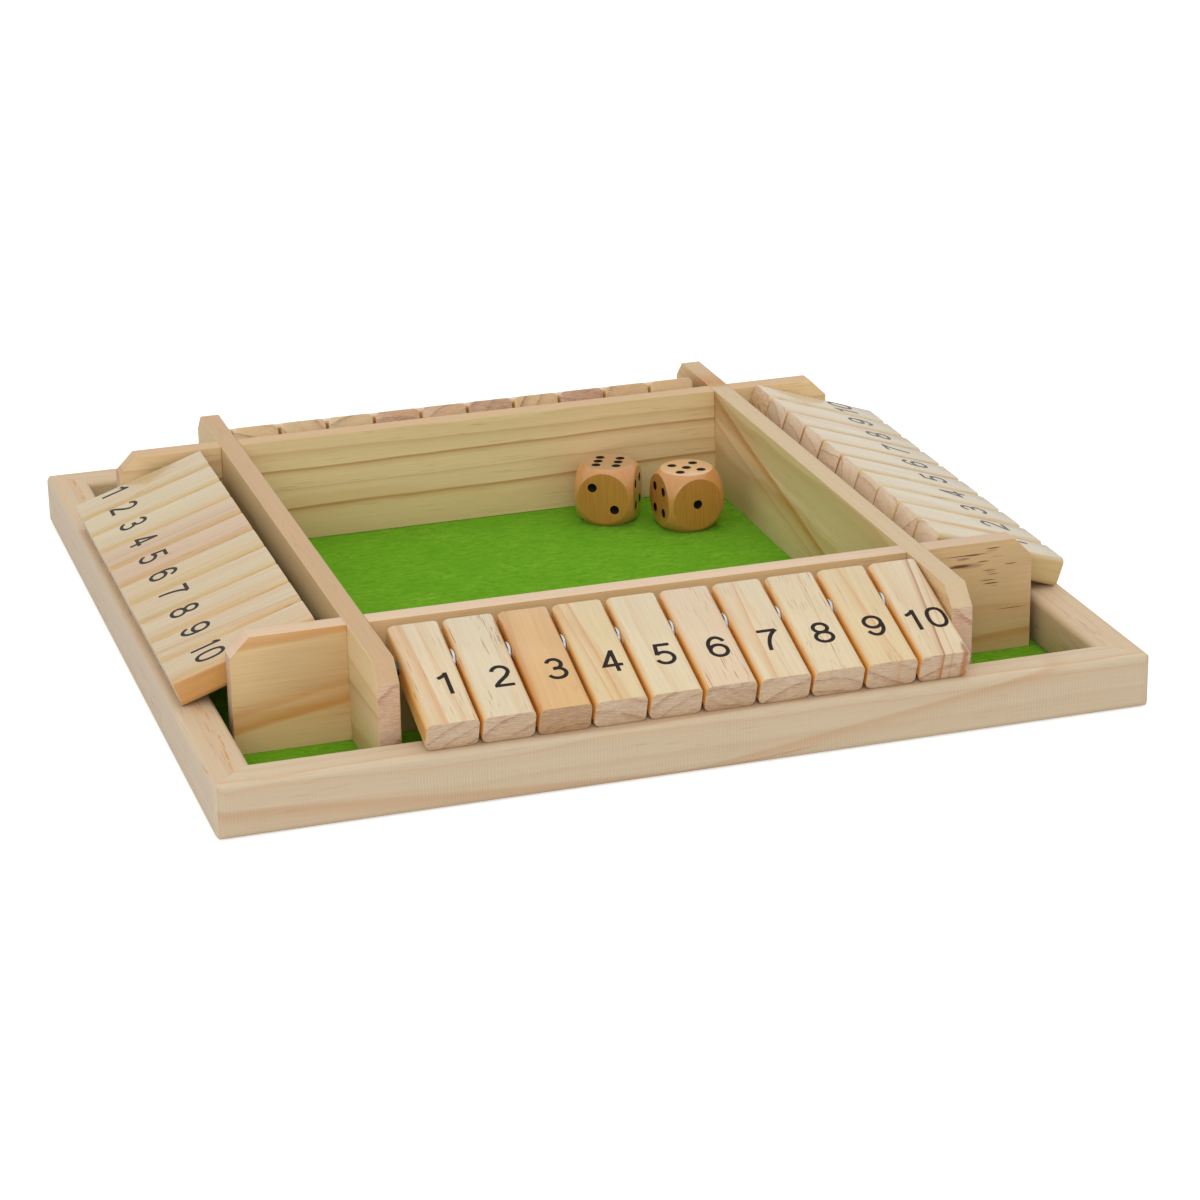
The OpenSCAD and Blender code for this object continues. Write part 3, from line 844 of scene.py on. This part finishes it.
def dieMaterial(name, turnDegrees, top):
    # Hardwood under gloss lacquer: darker flats with upright grain, honey where the corners were turned
    material, tree = emptyMaterial(f"lacqueredHardwood_{name}")
    place = addNode(tree, "TexCoord")
    turned = addNode(tree, "Mapping", {
        "Vector": place.outputs["Normal"], "Rotation": (0.0, 0.0, math.radians(-turnDegrees))})
    size = addNode(tree, "VectorMath", {0: turned}, operation="ABSOLUTE")
    xyz = addNode(tree, "SeparateXYZ", {0: size})
    largest = addNode(tree, "Math", {0: xyz.outputs["X"], 1: xyz.outputs["Y"]}, operation="MAXIMUM")
    largest = addNode(tree, "Math", {0: largest, 1: xyz.outputs["Z"]}, operation="MAXIMUM")
    isFlat = addNode(tree, "MapRange", {"Value": largest, "From Min": 0.93, "From Max": 0.995})
    isTop = addNode(tree, "MapRange", {"Value": xyz.outputs["Z"], "From Min": 0.8, "From Max": 0.99})
    across, along = dieLook["grainAcross"] / mm, dieLook["grainAlong"] / mm
    lengthways = addNode(tree, "Mapping", {
        "Vector": place.outputs["Object"], "Scale": (across, across, along)})
    grain = addNode(tree, "TexNoise", {"Vector": lengthways, "Scale": 1.0, "Detail": 3.0, "Roughness": 0.6})
    spread = addNode(tree, "MapRange", {"Value": grain, "From Min": 0.3, "From Max": 0.7})
    flat = addNode(tree, "Mix", {0: spread, 6: dieLook["flat"], 7: dieLook["flatDark"]}, data_type="RGBA")
    rounded = addNode(tree, "Mix", {0: spread, 6: dieLook["roundLight"], 7: dieLook["round"]},
                      data_type="RGBA")
    colour = addNode(tree, "Mix", {0: isFlat, 6: rounded, 7: flat}, data_type="RGBA")
    colour = addNode(tree, "Mix", {0: isTop, 6: colour, 7: top}, data_type="RGBA")
    relief = addNode(tree, "Bump", {
        "Strength": dieLook["bump"], "Distance": dieLook["relief"] * mm, "Height": grain})
    shader = addNode(tree, "BsdfPrincipled", {"Base Color": colour, "Normal": relief, **dieLook["shader"]})
    addNode(tree, "OutputMaterial", {"Surface": shader})
    return material


def pipPaint():
    # Enamel dabbed into the drilled dimples: black, with hardly a gleam at this size
    material, tree = emptyMaterial("pipEnamel")
    place = addNode(tree, "TexCoord")
    uneven = addNode(tree, "TexNoise", {
        "Vector": place.outputs["Object"], "Scale": enamelLook["grain"] / mm, "Detail": 1.0})
    colour = addNode(tree, "Mix", {0: uneven, 6: enamelLook["dark"], 7: enamelLook["light"]},
                     data_type="RGBA")
    shader = addNode(tree, "BsdfPrincipled", {"Base Color": colour, **enamelLook["shader"]})
    addNode(tree, "OutputMaterial", {"Surface": shader})
    return material


def makeDice():
    enamel = pipPaint()
    for node, die in diceTurned.items():
        low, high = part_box(node)
        size = high.z - low.z
        flatDiameter = dieLook["flatDiameter"] * mm
        ball = math.hypot(size, flatDiameter) / 2
        bm = bmesh.new()
        around, upright = dieLook["ballSegments"]
        bmesh.ops.create_uvsphere(bm, u_segments=around, v_segments=upright, radius=ball)
        for outward, _, _ in faceAxes.values():
            cut = bmesh.ops.bisect_plane(bm, geom=everyPart(bm), plane_co=Vector(outward) * size / 2,
                                         plane_no=outward, clear_outer=True)
            rim = [e for e in cut["geom_cut"] if isinstance(e, bmesh.types.BMEdge)]
            bmesh.ops.contextual_create(bm, geom=rim)
        bmesh.ops.remove_doubles(bm, verts=bm.verts, dist=dieLook["merge"] * mm)
        sharp = math.radians(dieLook["rimDegrees"])
        rims = [e for e in bm.edges if e.is_manifold and e.calc_face_angle() > sharp]
        bmesh.ops.bevel(bm, geom=rims, offset=dieLook["ease"] * mm, offset_type="OFFSET", affect="EDGES",
                        segments=2, profile=0.5, material=-1, clamp_overlap=True)
        body = newObject(f"{node}_body", meshFrom(bm, f"{node}_hardwood"))

        a, d = dieLook["pip"] / 2 * mm, dieLook["pipDepth"] * mm
        drill = (a * a + d * d) / (2 * d)   # radius of the ball whose cap is a pip
        tips = bmesh.new()
        centres = []
        for face, figure in die["faces"].items():
            outward, right, up = (Vector(v) for v in faceAxes[face])
            for x, y in pipPlaces(figure):
                centre = outward * (size / 2 + drill - d) + right * x * mm + up * y * mm
                centres.append(centre)
                aim = outward.to_track_quat("Z", "Y").to_matrix().to_4x4()
                around, upright = dieLook["pipSegments"]
                bmesh.ops.create_uvsphere(tips, u_segments=around, v_segments=upright, radius=drill,
                                          matrix=Matrix.Translation(centre) @ aim)
        tipObject = newObject(f"{node}_tips", meshFrom(tips, f"{node}_tips"))
        drilled = body.modifiers.new("pips", "BOOLEAN")
        drilled.operation = "DIFFERENCE"
        drilled.solver = "EXACT"
        drilled.object = tipObject
        finished = evaluatedMesh(body)
        bpy.data.objects.remove(body)
        bpy.data.objects.remove(tipObject)
        finished.materials.clear()
        finished.materials.append(dieMaterial(node, die["turn"], die["top"]))
        finished.materials.append(enamel)
        # A face belongs to a pip if it lies on one of the drill's balls and looks to its middle
        for face in finished.polygons:
            inPip = any((face.center - c).length < drill + dieLook["near"] * mm
                        and (c - face.center).dot(face.normal) > dieLook["pipFacing"] * drill
                        for c in centres)
            face.material_index = 1 if inPip else 0
        turned = Matrix.Rotation(math.radians(die["turn"]), 4, "Z")
        finished.transform(Matrix.Translation((low + high) / 2) @ turned)
        smoothByAngle(finished, dieLook["smoothDegrees"])
        finished.name = f"{node}_hardwood"
        attach(newObject(f"{node}_hardwood", finished), node)
    print("dice done")


def makeFelt():
    low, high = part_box("felt_sheet")
    bm = bmesh.new()
    bmesh.ops.create_grid(bm, x_segments=feltLook["cells"], y_segments=feltLook["cells"],
                          size=(high.x - low.x) / 2)
    draw = random.Random(feltLook["seed"])
    for vert in bm.verts:
        vert.co.z = high.z - draw.uniform(0.0, feltLook["waves"]) * mm
    bmesh.ops.smooth_vert(bm, verts=bm.verts, factor=0.5, use_axis_z=True)
    mesh = meshFrom(bm, "felt_cloth")
    mesh.materials.append(woolFelt())
    felt = newObject("felt_cloth", mesh)
    thick = felt.modifiers.new("thickness", "SOLIDIFY")
    thick.thickness = (high.z - low.z) * feltLook["thickShare"]
    thick.offset = -1.0
    smoothByAngle(mesh, feltLook["smoothDegrees"])
    attach(felt, "felt_sheet")
    print("felt done")


baseLook = {"early": "#d9b98c", "blush": "#cfa878", "late": "#b98756", "ring": 16.0, "ringShare": 0.5,
            "warp": 22.0, "edge": "#a87c50", "edgeShare": 0.6, "dashes": 0.3, "roughness": 0.6}


def makeBaseAndMetal():
    veneer = pine("sandedPlywoodVeneer", Matrix.Identity(3), (0.0, 30.0, -60.0), baseLook)
    easedPiece("base_board", "base_board_ply", easeInMm["base"] * mm, veneer)
    # The rods get the darkened steel, whose colours are painted shade
    drawnSteel = zincSteel("drawnSteelRodPaintedShade", rodPaintedShadeLook)
    for sideName in sideNames:
        for slot in frame["nodes"][f"{sideName}_rod"].material_slots:
            slot.material = drawnSteel
    plated = zincSteel("zincPlatedWasher", washerLook)
    easedPiece("rod_washers", "rod_washers_zinc", easeInMm["washer"] * mm, plated)
    print("base and metal done")


# Fitted to the corners of the photographed frame and boards. Metres, degrees and mm of lens
cameraLook = {"place": (-0.31925, -1.07271, 0.42772), "heading": 17.331, "dip": 20.823, "roll": -1.075,
              "lens": 104.315, "sensor": 36.0, "farthest": 50.0}
# Strength of the dome, and power, size and place of each softbox. The floor shines a little to the
# camera, so that it is white, and lies just below the box
lightLook = {"dome": 0.72, "sky": "#ffffff", "paper": "#ededed",
             "floorLift": 0.5, "floorSize": 30.0, "floorDrop": 0.0002,
             "softboxes": {"top_softbox": (3.8, 1.6, (0.1, 0.1, 1.5)),
                           "key_softbox": (7.4, 1.2, (-0.6, -1.5, 0.9))}}


def makeCamera():
    heading, dip, roll = (math.radians(cameraLook[k]) for k in ("heading", "dip", "roll"))
    forward = Vector((math.sin(heading) * math.cos(dip), math.cos(heading) * math.cos(dip), -math.sin(dip)))
    level = Vector((math.cos(heading), -math.sin(heading), 0.0))
    over = level.cross(forward)
    right = math.cos(roll) * level + math.sin(roll) * over
    up = math.cos(roll) * over - math.sin(roll) * level
    data = bpy.data.cameras.new("camera")
    data.lens = cameraLook["lens"]
    data.sensor_width = cameraLook["sensor"]
    data.clip_end = cameraLook["farthest"]
    camera = bpy.data.objects.new("camera", data)
    bpy.context.scene.collection.objects.link(camera)
    turned = Matrix((right, up, -forward)).transposed().to_4x4()
    camera.matrix_world = Matrix.Translation(cameraLook["place"]) @ turned
    bpy.context.scene.camera = camera


def makeStudio():
    below = (0.0, 0.0, -lightLook["floorDrop"])
    bpy.ops.mesh.primitive_plane_add(size=lightLook["floorSize"], location=below)
    floor = bpy.context.object
    floor.name = "studio_floor"
    paper, tree = emptyMaterial("whiteStudioPaper")
    rays = addNode(tree, "LightPath")
    seen = addNode(tree, "Math", {0: rays.outputs["Is Camera Ray"], 1: lightLook["floorLift"]},
                   operation="MULTIPLY")
    diffuse = addNode(tree, "BsdfDiffuse", {"Color": lightLook["paper"]})
    lift = addNode(tree, "Emission", {"Strength": seen})
    both = addNode(tree, "AddShader", {0: diffuse, 1: lift})
    addNode(tree, "OutputMaterial", {"Surface": both})
    floor.data.materials.append(paper)

    world = bpy.data.worlds.new("studio")
    bpy.context.scene.world = world
    world.use_nodes = True
    tree = world.node_tree
    tree.nodes.clear()
    rays = addNode(tree, "LightPath")
    seen = addNode(tree, "Math", {0: rays.outputs["Is Camera Ray"], 1: rays.outputs["Is Glossy Ray"]},
                   operation="MAXIMUM")
    seen = addNode(tree, "Math", {0: seen, 1: rays.outputs["Is Transmission Ray"]}, operation="MAXIMUM")
    strength = addNode(tree, "MapRange", {"Value": seen, "To Min": lightLook["dome"], "To Max": 1.0})
    sky = addNode(tree, "Background", {"Color": lightLook["sky"], "Strength": strength})
    addNode(tree, "OutputWorld", {"Surface": sky})

    for name, (power, size, place) in lightLook["softboxes"].items():
        data = bpy.data.lights.new(name, "AREA")
        data.energy = power
        data.size = size
        lamp = bpy.data.objects.new(name, data)
        bpy.context.scene.collection.objects.link(lamp)
        lamp.location = place
        lamp.rotation_euler = (-Vector(place)).to_track_quat("-Z", "Y").to_euler()
    bpy.context.scene.view_settings.view_transform = "Standard"
    print("studio done")


makeCamera()
makeStudio()
makeRails()
makeBoards()
makeTiles()
makeNumbers(printingInk())
makeDice()
makeBaseAndMetal()
makeFelt()
